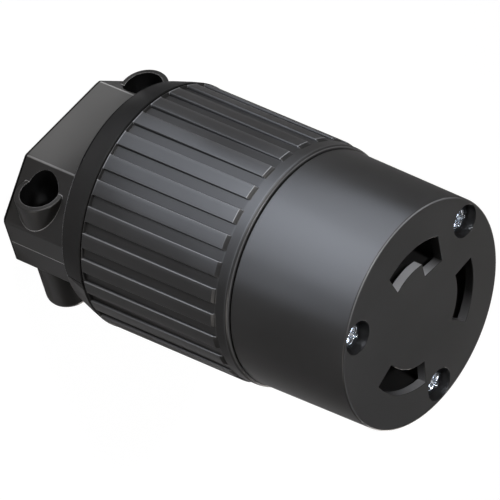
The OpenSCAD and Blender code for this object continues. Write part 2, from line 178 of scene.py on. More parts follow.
def paper_floor():
    """A flat white sheet; a share of it glows, and only for rays that come from the camera."""
    mesh = bpy.data.meshes.new("floor")
    half = FLOOR_SIZE / 2
    corners = [(-half, -half, 0), (half, -half, 0), (half, half, 0), (-half, half, 0)]
    mesh.from_pydata(corners, [], [(0, 1, 2, 3)])
    floor = new_object("floor", mesh)
    material = bpy.data.materials.new("white_sheet")
    tree = node_tree(material)
    paper = add(tree, "ShaderNodeBsdfDiffuse", Color=FLOOR_COLOUR)
    glow = add(tree, "ShaderNodeEmission", Color=(1, 1, 1, 1), Strength=FLOOR_GLOW)
    rays = tree.nodes.new("ShaderNodeLightPath")
    share = calculate(tree, "MULTIPLY", rays.outputs["Is Camera Ray"], FLOOR_GLOW_SEEN)
    mix = tree.nodes.new("ShaderNodeMixShader")
    for source, socket in zip((share, paper.outputs[0], glow.outputs[0]), mix.inputs):
        tree.links.new(source, socket)
    show(tree, mix)
    mesh.materials.append(material)


def soft_lamp(name, place, target, width, depth, watts, colour=(1, 1, 1), beam=180):
    """A rectangular lamp at place that faces target; sizes in metres. A small beam angle in degrees is
    a grid on the lamp."""
    data = bpy.data.lights.new(name, "AREA")
    data.shape = "RECTANGLE"
    data.size, data.size_y = width, depth
    data.energy = watts
    data.color = colour
    data.spread = math.radians(beam)
    lamp = new_object(name, data)
    lamp.location = place
    lamp.rotation_euler = (Vector(place) - Vector(target)).to_track_quat("Z", "Y").to_euler()
    lamp.visible_camera = False


def grey_world():
    """An even, dim grey all round."""
    world = bpy.data.worlds.new("even_grey")
    tree = node_tree(world)
    sky = add(tree, "ShaderNodeBackground", Color=(0.97, 0.98, 1.0, 1), Strength=WORLD_GREY)
    show(tree, sky, "ShaderNodeOutputWorld")
    bpy.context.scene.world = world


def floor_panel(name, x, y, lift, width, depth, watts, colour=COOL):
    """A panel that lies on the floor and shines up; panels that overlap lie at heights of their own."""
    soft_lamp(name, (x, y, lift), (x, y, 1), width, depth, watts, colour)


paper_floor()
grey_world()
floor_panel("far_field", 0.0, -0.17, 0.002, 0.30, 0.11, 0.355)
floor_panel("far_edge", 0.02, -0.20, 0.004, 0.22, 0.06, 0.091)
floor_panel("far_core", 0.02, -0.17, 0.006, 0.08, 0.10, 0.058)
floor_panel("right_patch", 0.10, -0.14, 0.008, 0.09, 0.07, 0.022)
floor_panel("right_flank", 0.135, -0.08, 0.006, 0.06, 0.05, 0.022)
floor_panel("near_field", 0.03, -0.085, 0.004, 0.13, 0.055, 0.043)
floor_panel("foot_field", -0.006, -0.0233, 0.0003, 0.036, 0.0133, 0.0021, (1, 1, 1))
soft_lamp("front", (0.0, -0.45, 0.07), (0, 0, 0.07), 0.5, 0.13, 0.9, WARM)
soft_lamp("right", (0.8, 0.1, 0.1), (0, 0, 0.05), 0.5, 0.18, 1.2, WARM)
soft_lamp("slot_key", (0.0, -0.55, 0.85), (0, 0, 0.098), 0.2, 0.2, 0.062, (1.0, 1.0, 1.03), 10)
soft_lamp("glint_left", (-0.42, 0.37, 0.80), (0, 0, 0.098), 0.12, 0.12, 0.004, COOL, 20)
soft_lamp("glint_back", (-0.185, 0.62, 0.72), (0, 0, 0.098), 0.12, 0.12, 0.004, COOL, 20)
soft_lamp("back_left", (-0.6, 0.5, 0.3), (0, 0, 0.05), 0.5, 0.4, 0.36, WARM)
soft_lamp("back_top", (0.0, 0.6, 1.1), (0, 0, 0.05), 0.7, 0.7, 0.9, WARM)
soft_lamp("rear", (-0.15, 0.8, 0.14), (0, 0, 0.055), 0.4, 0.3, 0.12, WARM, 25)
bpy.context.scene.view_settings.view_transform = "Standard"
print("floor, world, seven floor panels and eight lamps")

# %% [markdown]
# The four mouldings are charcoal nylon with a satin skin. Its colour is almost even, so the life of
# it is in the gloss: a fine moulded grain, patches that are a little smoother, and edges that catch
# light. It could be painted on an unwrapped image, but noise that is worked out from the object's own
# coordinates, in metres, keeps its scale and needs no unwrapping. Light edges and walls are painted
# light, and dark spots are painted shade; both are masks. Some follow from the shape, and some are
# placed on the side that the camera sees.

# %% Finish: satin nylon
NYLON_DARK = (0.018, 0.0175, 0.017, 1)
NYLON_LIGHT = (0.032, 0.0315, 0.031, 1)
# Painted light: edges and walls that face the lamps are lightened towards this colour.
NYLON_PAINTED_LIGHT = (0.60, 0.605, 0.615, 1)
# Painted shade: corners, wells and the feet of ribs are darkened towards this colour.
NYLON_PAINTED_SHADE = (0.006, 0.006, 0.006, 1)
NYLON_SPECULAR, MATT_SPECULAR, COLLAR_SPECULAR = 0.5, 0.15, 0.04
NYLON_GLOSSY, NYLON_ROUGH = 0.28, 0.35
PATCH_SCALE, SWELL_SCALE, GRAIN_SCALE = 55, 95, 2600
SWELL_DEPTH, GRAIN_DEPTH, SOFT_EDGE, SHADE_REACH = 0.04, 0.012, 0.22, 0.6
CLAMP_SCREW_X, CLAMP_SCREW_Z, WELL_R = 18.45, 8.2, 4.5
FLAT_CORNER_X, FLAT_CORNER_Y, FLAT_CORNER_LIGHT = 12.95, -15.5, 0.3
COLLAR_Z, COLLAR_SHADE, DARK_END = 19.1, 0.6, 0.95
PAINTED_LIGHT_Z, COLLAR_SHADE_X, REAR_EDGE_Y = (0.4, 1.2), (12, -2), (-20.0, -23.5)
EDGE_DOT, OPEN_SHARE, PATCH_RANGE = (0.96, 0.996), (0.35, 0.85), (0.15, 0.85)


def noise(tree, coords, scale, detail=2.0, roughness=0.5):
    """Object-space noise; scale is how many features fit in one metre."""
    node = add(tree, "ShaderNodeTexNoise", Vector=coords, Scale=scale, Detail=detail, Roughness=roughness)
    return node.outputs["Fac"]


def spread(tree, value, low, high, start=0.3, end=0.7):
    """Maps a pattern to low at start and high at end, with a straight slope between."""
    node = add(tree, "ShaderNodeMapRange", Value=value, From_Min=start, From_Max=end, To_Min=low,
               To_Max=high)
    return node.outputs["Result"]


def ramp(tree, value, start, end):
    """0 at start and 1 at end, both in mm; start may be the larger of the two."""
    return spread(tree, value, 0.0, 1.0, start * MM, end * MM)


def blend_colours(tree, factor, first, second):
    """Mixes two colours, each a plain value or the output of a node."""
    node = add(tree, "ShaderNodeMix", Factor=factor)
    node.data_type = "RGBA"
    sockets = [s for s in node.inputs if s.type == "RGBA"]
    for socket, colour in zip(sockets, (first, second)):
        set_input(tree, socket, colour)
    return [s for s in node.outputs if s.type == "RGBA"][0]


def bump(tree, height, distance, strength, normal=None):
    """A bump of the given depth in metres; the normal of an earlier bump may be handed on."""
    node = add(tree, "ShaderNodeBump", Height=height, Distance=distance, Strength=strength)
    if normal is not None:
        set_input(tree, node.inputs["Normal"], normal)
    return node.outputs["Normal"]


def soft_edge(tree, radius, samples):
    """The normal that the surface would have with its sharp edges rounded; radius in metres."""
    node = add(tree, "ShaderNodeBevel", Radius=radius)
    node.samples = samples
    return node.outputs["Normal"]


def combine(tree, operation, *values):
    """The same step of arithmetic over any number of values: their product, or the largest of them."""
    return reduce(lambda first, second: calculate(tree, operation, first, second), values)


def point_value(tree, name):
    """A value that is stored at the points of a mesh; it is 0 on a mesh without that name."""
    node = tree.nodes.new("ShaderNodeAttribute")
    node.attribute_name = name
    return node.outputs["Fac"]


def edge_mask(tree, soft_normal):
    """Where the softened normal turns away from the true one there is an edge: 1 minus their dot
    product, spread out."""
    plain = tree.nodes.new("ShaderNodeNewGeometry")
    dot = tree.nodes.new("ShaderNodeVectorMath")
    dot.operation = "DOT_PRODUCT"
    tree.links.new(soft_normal, dot.inputs[0])
    tree.links.new(plain.outputs["Normal"], dot.inputs[1])
    return spread(tree, dot.outputs["Value"], 1.0, 0.0, *EDGE_DOT)


def open_mask(tree, reach):
    """1 on open surfaces and convex edges, 0 deep in an inner corner: the share of the near sky that is
    free."""
    node = add(tree, "ShaderNodeAmbientOcclusion", Distance=reach)
    node.samples = 8
    node.only_local = True
    return spread(tree, node.outputs["AO"], 0.0, 1.0, *OPEN_SHARE)


def well_mask(tree, x, y, z):
    """1 in the two clamp wells, on the -Y side: where the distance from a well's axis, which is the root
    of two squares, is less than its radius."""
    aside = calculate(tree, "SUBTRACT", calculate(tree, "ABSOLUTE", x), CLAMP_SCREW_X * MM)
    above = calculate(tree, "SUBTRACT", z, CLAMP_SCREW_Z * MM)
    squares = [calculate(tree, "MULTIPLY", side, side) for side in (aside, above)]
    distance = calculate(tree, "SQRT", calculate(tree, "ADD", *squares))
    within = ramp(tree, distance, WELL_R + 0.1, WELL_R + 0.02)
    return combine(tree, "MULTIPLY", within, ramp(tree, y, -1.0, -1.5))


def corner_mask(tree, x, y):
    """1 on the two rounded corners of the clamp cap's flat: a narrow strip about their x, on the -Y
    side."""
    aside = calculate(tree, "SUBTRACT", calculate(tree, "ABSOLUTE", x), FLAT_CORNER_X * MM)
    strip = ramp(tree, calculate(tree, "ABSOLUTE", aside), 0.3, 0.12)
    return combine(tree, "MULTIPLY", strip, ramp(tree, y, FLAT_CORNER_Y + 1, FLAT_CORNER_Y))


def clamp_marks(tree, coords, soft_normal):
    """Three masks for the clamp halves, by place: a painted highlight on the edges and on the flat's two
    rounded corners, painted shade in dark spots (the wells, inner corners, one part and the rear edge of
    the collar, the cord end), and the cap's half of the collar, which is less glossy."""
    x, y, z = add(tree, "ShaderNodeSeparateXYZ", Vector=coords).outputs
    free = open_mask(tree, SHADE_REACH * MM)
    # Painted highlight on open convex edges and on the flat's corners, only along the clamp.
    edges = combine(tree, "MULTIPLY", edge_mask(tree, soft_normal), free)
    corners = combine(tree, "MULTIPLY", corner_mask(tree, x, y), FLAT_CORNER_LIGHT)
    on_clamp = [ramp(tree, z, *PAINTED_LIGHT_Z), ramp(tree, z, COLLAR_Z + 0.9, COLLAR_Z + 0.5)]
    light_painted = combine(tree, "MULTIPLY", calculate(tree, "MAXIMUM", edges, corners), *on_clamp)
    rear_edge = combine(
        tree, "MULTIPLY", ramp(tree, z, COLLAR_Z - 0.2, COLLAR_Z - 0.05),
        ramp(tree, z, COLLAR_Z + 0.85, COLLAR_Z + 0.65), ramp(tree, y, *REAR_EDGE_Y))
    collar = combine(tree, "MULTIPLY", ramp(tree, z, COLLAR_Z - 0.2, COLLAR_Z), ramp(tree, y, 0.1, -0.1))
    dimmed = combine(tree, "MULTIPLY", collar, ramp(tree, x, *COLLAR_SHADE_X), COLLAR_SHADE)
    cord_end = ramp(tree, z, DARK_END + 0.15, DARK_END)
    inner = calculate(tree, "SUBTRACT", 1.0, free)
    # Painted shade: the largest of the wells, inner corners, one part and the rear edge of the collar,
    # and the cord end.
    painted_shade = combine(tree, "MAXIMUM", well_mask(tree, x, y, z), inner, dimmed, rear_edge, cord_end)
    return light_painted, painted_shade, collar


def satin_nylon(name, edge_radius=0.0):
    """Charcoal nylon that three masks change: one paints light on it, one paints shade, and one dulls the
    gloss. On new surfaces they are values stored at the points. An edge radius in metres is for CAD
    pieces: it rounds their sharp edges, and the masks are the clamp's marks."""
    material = bpy.data.materials.new(name)
    tree = node_tree(material)
    coords = tree.nodes.new("ShaderNodeTexCoord").outputs["Object"]
    patches = noise(tree, coords, PATCH_SCALE, 3.0)
    grain = noise(tree, coords, GRAIN_SCALE)
    swell = noise(tree, coords, SWELL_SCALE, 1.0)
    if edge_radius:
        normal = soft_edge(tree, edge_radius, 8)
        light_painted, painted_shade, dimmed = clamp_marks(tree, coords, normal)
        dull_specular, painted_shade_gloss = COLLAR_SPECULAR, 0.15
    else:
        normal = None
        light_painted, painted_shade, dimmed = (point_value(tree, mask) for mask in ("painted_light", "shaded", "matt"))
        dull_specular, painted_shade_gloss = MATT_SPECULAR, 0.1
    lighter = spread(tree, patches, 0.0, 1.0, *PATCH_RANGE)
    colour = blend_colours(tree, lighter, NYLON_DARK, NYLON_LIGHT)
    # Painted light, then painted shade, blended into the colour.
    colour = blend_colours(tree, light_painted, colour, NYLON_PAINTED_LIGHT)
    colour = blend_colours(tree, painted_shade, colour, NYLON_PAINTED_SHADE)
    gloss = spread(tree, dimmed, NYLON_SPECULAR, dull_specular, 0.0, 1.0)
    gloss = combine(tree, "MULTIPLY", gloss, spread(tree, painted_shade, 1.0, painted_shade_gloss, 0.0, 1.0))
    normal = bump(tree, swell, SWELL_DEPTH * MM, 0.5, normal)
    normal = bump(tree, grain, GRAIN_DEPTH * MM, 0.35, normal)
    roughness = spread(tree, patches, NYLON_GLOSSY, NYLON_ROUGH, *PATCH_RANGE)
    show(tree, add(tree, "ShaderNodeBsdfPrincipled", IOR=1.5, Base_Color=colour, Roughness=roughness,
                   Specular_IOR_Level=gloss, Normal=normal))
    return material


nylon = satin_nylon("nylon_moulded")
nylon_cad = satin_nylon("nylon_moulded_cad", SOFT_EDGE * MM)
print("satin nylon, for new surfaces and for CAD pieces")

# %% [markdown]
# Every new piece is made the same way: grids of points, worked out with numpy, are joined into one
# closed mesh. A grid could be filled vertex by vertex in a loop, but whole arrays are shorter and
# faster, and the formula stays readable. Flat sheets with holes, such as the face, are filled between
# the rims of the grids.

# %% Tools for surfaces
def grid_quads(rows, columns, close_rows):
    """Each quad joins point (i, j) with its neighbours (i, j+1), (i+1, j+1) and (i+1, j); columns run
    round."""
    i, j = np.meshgrid(np.arange(rows if close_rows else rows - 1), np.arange(columns), indexing="ij")
    below, beside = (i + 1) % rows, (j + 1) % columns
    corners = [i * columns + j, i * columns + beside, below * columns + beside, below * columns + j]
    return np.stack(corners, -1).reshape(-1, 4)


def inside(points, starts, ends):
    """Even-odd rule: a point lies in the sheet if a ray from it along +X crosses the rims an odd number
    of times."""
    x, y = points[:, :1], points[:, 1:]
    crosses = (starts[:, 1] > y) != (ends[:, 1] > y)
    rise = np.where(ends[:, 1] == starts[:, 1], 1, ends[:, 1] - starts[:, 1])
    at = starts[:, 0] + (y - starts[:, 1]) * (ends[:, 0] - starts[:, 0]) / rise
    return (crosses & (at > x)).sum(1) % 2 == 1


def fill_flat(work, height):
    """Fills the open rims at one height with a flat sheet of triangles, holes left open."""
    at_height = lambda edge: all(abs(v.co.z - height) < 1e-4 for v in edge.verts)
    rims = [e for e in work.edges if e.is_boundary and at_height(e)]
    verts = list({v.index: v for e in rims for v in e.verts}.values())
    number = {v.index: i for i, v in enumerate(verts)}
    edges = np.array([[number[v.index] for v in e.verts] for e in rims])
    flat = np.array([v.co.xy for v in verts])
    _, _, faces, sources, _, _ = delaunay_2d_cdt([v.co.xy for v in verts], edges.tolist(), [], 1, 1e-6)
    faces = np.array([[sources[i][0] for i in face] for face in faces])
    kept = faces[inside(flat[faces].mean(1), flat[edges[:, 0]], flat[edges[:, 1]])]
    for face in kept:
        work.faces.new([verts[i] for i in face])


def make_piece(name, grids, material, flats=()):
    """Joins grids (array of rows, columns and xyz in mm; whether its rows close) into one mesh on the
    root body. The work is done in millimetres, because filling needs room between the points, and
    scaled at the end."""
    starts = np.cumsum([0] + [grid.shape[0] * grid.shape[1] for grid, _ in grids])
    points = np.concatenate([grid.reshape(-1, 3) for grid, _ in grids])
    quads = [grid_quads(*grid.shape[:2], closed) + start for (grid, closed), start in zip(grids, starts)]
    mesh = bpy.data.meshes.new(name)
    mesh.from_pydata(points, [], np.concatenate(quads).tolist())
    work = bmesh.new()
    work.from_mesh(mesh)
    for height in flats:
        fill_flat(work, height)
    bmesh.ops.remove_doubles(work, verts=work.verts, dist=0.0005)
    bmesh.ops.recalc_face_normals(work, faces=work.faces)
    loose = sum(not e.is_manifold for e in work.edges)
    work.to_mesh(mesh)
    work.free()
    mesh.transform(Matrix.Scale(MM, 4))
    mesh.polygons.foreach_set("use_smooth", np.ones(len(mesh.polygons), bool))
    mesh.materials.append(material)
    piece = new_object(name, mesh)
    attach(piece, "root")
    print(name, len(mesh.polygons), "faces,", loose, "open edges")
    return piece


def set_mask(piece, name, formula):
    """Stores a value from 0 to 1 at each point, from a formula of its x, y and z in mm."""
    spots = np.empty(len(piece.data.vertices) * 3)
    piece.data.vertices.foreach_get("co", spots)
    values = np.clip(formula(*(spots.reshape(-1, 3).T / MM)), 0, 1)
    piece.data.attributes.new(name, "FLOAT", "POINT").data.foreach_set("value", values.astype(np.float32))


def arc(centre, radius, start, end, count):
    """Points on a circle from one angle to another, in degrees."""
    turn = np.radians(np.linspace(start, end, count))
    return np.stack([centre[0] + radius * np.cos(turn), centre[1] + radius * np.sin(turn)], -1)


def soft_step(distance, softness=0.05):
    """One over (1 plus e to the distance over the softness): 1 well inside and 0 well outside."""
    return 1 / (1 + np.exp(np.clip(distance / softness, -40, 40)))


def rounded(corners, radii, steps=6):
    """A line through corners, each turned into an arc of its own radius, with support points
    beside each arc so that the flats between them stay flat in the shading."""
    corners = np.asarray(corners, float)
    path = [corners[:1]]
    for before, at, after, radius in zip(corners, corners[1:], corners[2:], radii):
        u, v = (before - at) / np.linalg.norm(before - at), (after - at) / np.linalg.norm(after - at)
        half = np.arccos(np.clip(u @ v, -1, 1)) / 2
        reach = radius / np.tan(half)
        centre = at + (u + v) / np.linalg.norm(u + v) * radius / np.sin(half)
        first, last = at + u * reach - centre, at + v * reach - centre
        turn = np.arctan2(first[0] * last[1] - first[1] * last[0], first @ last)
        angle = np.arctan2(first[1], first[0]) + turn * np.linspace(0, 1, steps)
        bend = centre + radius * np.stack([np.cos(angle), np.sin(angle)], -1)
        path += [at + u * reach * 1.2, bend, at + v * reach * 1.2]
    return np.vstack(path + [corners[-1:]])


def around(radius, angle, z, centre=(0.0, 0.0)):
    """Points about an upright axis: x is the radius times the cosine of the angle, y times its sine."""
    x, y = centre[0] + radius * np.cos(angle), centre[1] + radius * np.sin(angle)
    return np.stack([x, y, z + 0 * x], -1)


def turned(profile, count=192, centre=(0.0, 0.0)):
    """A surface of revolution: the profile's radius and height, carried round an upright axis."""
    angle = np.linspace(0, 2 * np.pi, count, endpoint=False)
    return around(profile[:, :1], angle, profile[:, 1:], centre)


def lofted(outline, rows):
    """Carries a closed outline down a profile: each row says how far it grows and at what height."""
    loops = [np.column_stack([outline(grow), np.full(len(outline(grow)), z)]) for grow, z in rows]
    return np.stack(loops)


# %% [markdown]
# The nose is one moulding: a slightly tapered drum with a flat face, three curved slots and three
# screw wells. A Boolean cut would leave razor edges, and real plastic has none. So each opening is an
# outline that is carried down a profile: out on the face, round the lip, down the wall, and out again
# into the pocket behind.

# %% Nose
FACE_Z, SPIGOT_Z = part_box("front_body")[1].z / MM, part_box("front_body")[0].z / MM
NOSE_ROOT_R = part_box("front_body")[1].x / MM
RIM_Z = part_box("grip_shell")[1].z / MM
NOSE_FACE_R, SPIGOT_R, RIM_GAP = NOSE_ROOT_R - 0.7, 25.25, 0.3
SLOT_IN_R, SLOT_OUT_R, SLOT_DEPTH, POCKET_RELIEF = 12.5, 18.2, 2.2, 0.8
LINE_SLOTS = ((131.55, 182.05), (19.7, 78.7))
GROUND_IN_R, GROUND_OUT_R, GROUND_END, GROUND_TWIST = 12.35, 17.75, -67.0, -2.2
LEG_LEFT, LEG_RIGHT, LEG_TOP_LEFT, LEG_TOP_RIGHT = -9.8, -3.9, -7.55, -8.2
SCREW_RING_R, HEAD_WELL_R, HEAD_SEAT_Z, SCREW_HOLE_R = 22.0, 3.85, FACE_Z - 4.2, 1.95
SCREW_ANGLES = (90, 210, 330)
LIP, WELL_LIP, FACE_EDGE, SLOT_CORNER, KNEE_ROUND = 0.1, 0.05, 0.38, 0.15, 0.12
# Strengths of the painted light on the slots' walls and on the face edge.
GROUND_WALL_LIGHT, LINE_WALL_LIGHT, FACE_EDGE_LIGHT, FACE_EDGE_LIGHT_ANGLE = 1.0, 0.5, 0.35, -85


def polar(radius, angle):
    """The point at a radius and an angle in degrees."""
    return radius * np.array([np.cos(np.radians(angle)), np.sin(np.radians(angle))])


def line_slot(start, end, grow):
    """Outline of a curved slot: two arcs about the axis, two radial ends and four rounded corners."""
    widen = np.degrees(grow / (SLOT_IN_R + SLOT_OUT_R) * 2)
    start, end, bend = start - widen, end + widen, SLOT_CORNER + max(grow, 0)
    low, high = SLOT_IN_R - grow, SLOT_OUT_R + grow
    at_high, at_low = np.degrees(np.arcsin([bend / (high - bend), bend / (low + bend)]))
    return np.vstack([
        arc((0, 0), high, start + at_high, end - at_high, 48),
        arc(polar(high - bend, end - at_high), bend, end - at_high, end + 90, 6),
        arc(polar(low + bend, end - at_low), bend, end + 90, end - at_low + 180, 6),
        arc((0, 0), low, end - at_low, start + at_low, 36),
        arc(polar(low + bend, start + at_low), bend, start + at_low + 180, start + 270, 6),
        arc(polar(high - bend, start + at_high), bend, start - 90, start + at_high, 6),
    ])


def ground_slot(grow):
    """Outline of the ground slot: a curved slot whose one end runs into a straight leg towards the
    axis. Its ends are not quite radial, so at last every point turns about the axis in proportion to
    its distance from the inner arc."""
    widen = np.degrees(grow / (GROUND_IN_R + GROUND_OUT_R) * 2)
    end, bend, inner = GROUND_END + widen, SLOT_CORNER + max(grow, 0), max(KNEE_ROUND - grow, 0.02)
    low, high = GROUND_IN_R - grow, GROUND_OUT_R + grow
    left, right = LEG_LEFT - grow, LEG_RIGHT + grow
    at_high, at_low = np.degrees(np.arcsin([bend / (high - bend), bend / (low + bend)]))
    foot = np.array([left + bend, -np.sqrt((high - bend) ** 2 - (left + bend) ** 2)])
    knee = np.array([right + inner, -np.sqrt((low - inner) ** 2 - (right + inner) ** 2)])
    foot_angle, knee_angle = (np.degrees(np.arctan2(p[1], p[0])) for p in (foot, knee))
    outline = np.vstack([
        arc(foot, bend, -180, foot_angle, 6),
        arc((0, 0), high, foot_angle, end - at_high, 48),
        arc(polar(high - bend, end - at_high), bend, end - at_high, end + 90, 6),
        arc(polar(low + bend, end - at_low), bend, end + 90, end - at_low + 180, 6),
        arc((0, 0), low, end - at_low, knee_angle, 30),
        arc(knee, inner, knee_angle, -180, 6),
        arc((right - bend, LEG_TOP_RIGHT + grow - bend), bend, 0, 90, 6),
        arc((left + bend, LEG_TOP_LEFT + grow - bend), bend, 90, 180, 6),
    ])
    outwards = np.clip((np.hypot(*outline.T) - GROUND_IN_R) / (GROUND_OUT_R - GROUND_IN_R), 0, 1.2)
    turn = np.radians(GROUND_TWIST) * outwards
    x, y = outline.T
    return np.stack([x * np.cos(turn) - y * np.sin(turn), x * np.sin(turn) + y * np.cos(turn)], -1)


def lip_rows(lip):
    """From the flat face round the lip into the wall: a quarter circle with support rows on both
    sides."""
    bend = np.radians(np.linspace(0, 90, 6))
    rows = [(1.4 * lip, FACE_Z), (1.2 * lip, FACE_Z)]
    rows += [(lip - lip * np.sin(t), FACE_Z - lip + lip * np.cos(t)) for t in bend]
    return rows + [(0.0, FACE_Z - 1.2 * lip)]


def nose_grids():
    """The drum's skin, the three slots with their pockets, and the three screw wells down to their
    holes."""
    skin = rounded(
        [(NOSE_FACE_R - 1.25 * FACE_EDGE, FACE_Z), (NOSE_FACE_R, FACE_Z), (NOSE_ROOT_R, RIM_Z + RIM_GAP),
         (SPIGOT_R, RIM_Z + RIM_GAP), (SPIGOT_R, SPIGOT_Z), (SPIGOT_R - 1.0, SPIGOT_Z)],
        (FACE_EDGE, 0.2, 0.1, 0.3), 8)
    slot_wall = FACE_Z - SLOT_DEPTH
    behind = lambda relief: [
        (0.0, slot_wall + 0.06), (0.0, slot_wall), (0.06, slot_wall), (relief - 0.06, slot_wall),
        (relief, slot_wall), (relief, slot_wall - 0.1), (relief, SPIGOT_Z),
    ]
    to_hole = SCREW_HOLE_R - HEAD_WELL_R
    well = [
        (0.0, HEAD_SEAT_Z + 0.4), (0.0, HEAD_SEAT_Z + 0.3), (-0.1, HEAD_SEAT_Z + 0.1),
        (-0.3, HEAD_SEAT_Z), (-0.4, HEAD_SEAT_Z), (to_hole + 0.1, HEAD_SEAT_Z),
        (to_hole, HEAD_SEAT_Z - 0.1), (to_hole, HEAD_SEAT_Z - 0.3), (to_hole, SPIGOT_Z),
    ]
    ground_relief = POCKET_RELIEF + SLOT_OUT_R - GROUND_OUT_R
    grids = [(turned(skin), False), (lofted(ground_slot, lip_rows(LIP) + behind(ground_relief)), False)]
    for start, end in LINE_SLOTS:
        outline = lambda grow: line_slot(start, end, grow)
        grids.append((lofted(outline, lip_rows(LIP) + behind(POCKET_RELIEF)), False))
    for angle in SCREW_ANGLES:
        centre = polar(SCREW_RING_R, angle)
        round_well = lambda grow: arc(centre, HEAD_WELL_R + grow, 0, 360 - 360 / 72, 72)
        grids.append((lofted(round_well, lip_rows(WELL_LIP) + well), False))
    return grids


nose = make_piece("nose", nose_grids(), nylon, flats=(FACE_Z, SPIGOT_Z))
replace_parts(nose, "front_body")


def nose_painted_light(x, y, z):
    """Painted light: the slots' walls are lightened, fully in the ground slot apart from its left end,
    and on the outer walls of the other two the more they face -Y, by y over the radius. The rounded face
    edge gets a painted highlight on the -Y side, by the cosine of the angle from its brightest place."""
    radius = np.hypot(x, y)
    in_slot = (radius < SLOT_OUT_R + 0.05) & (z < FACE_Z - 1.1 * LIP) & (z > FACE_Z - SLOT_DEPTH - 0.01)
    ground = (y < -6) & (x > LEG_LEFT + 0.4)
    facing = np.clip((y / np.maximum(radius, 1) - 0.45) / 0.5, 0, 1)
    line = LINE_WALL_LIGHT * facing * (radius > SLOT_OUT_R - 1.2)
    on_edge = (radius > NOSE_FACE_R - 0.3) & (z > FACE_Z - 0.2)
    side = np.clip((np.cos(np.arctan2(y, x) - np.radians(FACE_EDGE_LIGHT_ANGLE)) - 0.55) / 0.35, 0, 1)
    return in_slot * np.where(ground, GROUND_WALL_LIGHT, line) + on_edge * (0.015 + FACE_EDGE_LIGHT * side)


# Painted light on the nose's slot walls and face edge.
set_mask(nose, "painted_light", nose_painted_light)

# %% [markdown]
# The grip is the piece that hands feel: a tube with raised ribs that grow towards the cord. Each rib
# could be a bevelled box on a tube, but then twenty-nine joins would show. Here the tube and its ribs
# are one surface: the radius is the tube's plus a rib height that depends on the height along the
# axis, times a window that depends on the angle. The window's edge is a logistic step, so that foot
# and crest are both rounded, as a mould leaves them.

# %% Grip shell
GRIP_Z, BAND_Z, SEAT_Z, CHAMBER_Z = 26.2, 63.6, 59.1, 28.8
SHELL_R, SHELL_BORE_R, CHAMBER_R = NOSE_ROOT_R + 0.65, 25.4, 24.6
NECK_R, NECK_BORE_R, FLANGE_R, FLANGE_LOW, FLANGE_HIGH = 22.6, 20.0, 24.6, 21.05, 23.45
RIB_COUNT, RIB_SHARE, RIB_FIRST = 29, 0.57, -90 + 1.1
RIB_REAR_H, RIB_FRONT_H, RIB_BEVEL, RIB_LIP, RIB_EDGE, RING_LEN = 0.85, 0.4, 0.85, 0.14, 0.03, 0.3
EDGE_POINTS = np.linspace(-0.17, 0.17, 9)
RIM_ROUND, RIM_ROUND_LEN = 0.5, 0.9
BOSS_R, INSERT_SEAT_R, INSERT_LEN = 4.3, 3.0, 9.0
# Strengths of the painted highlights on the ribs, their ends and the rim.
CREST_LIGHT, HEEL_LIGHT, END_LIGHT, RIM_LIGHT, RIM_FOOT_LIGHT = 0.28, 0.05, 0.34, 0.16, 0.06
GROOVE_MATT, BEVEL_MATT, BAND_MATT, FOOT_SHADE = 0.45, 0.7, 0.85, 0.9
END_LIGHT_LAST, BAND_GLOSS_LAST = -54, -60


def rib_window():
    """Angles round the shell, close together at the ribs' edges, and the window there: 0 in a groove, 1
    on a rib."""
    pitch = 2 * np.pi * SHELL_R / RIB_COUNT
    half = pitch * RIB_SHARE / 2
    side = np.concatenate([[0.45 * half], half + EDGE_POINTS, [half + 0.6 * (pitch / 2 - half)]])
    across = np.concatenate([-side[::-1], [0.0], side, [pitch / 2]])
    window = soft_step(np.abs(across) - half, RIB_EDGE)
    first = np.radians(RIB_FIRST) + 2 * np.pi * np.arange(RIB_COUNT) / RIB_COUNT
    angle = (first[:, None] + across / SHELL_R).ravel()
    return angle, np.tile(window, RIB_COUNT)


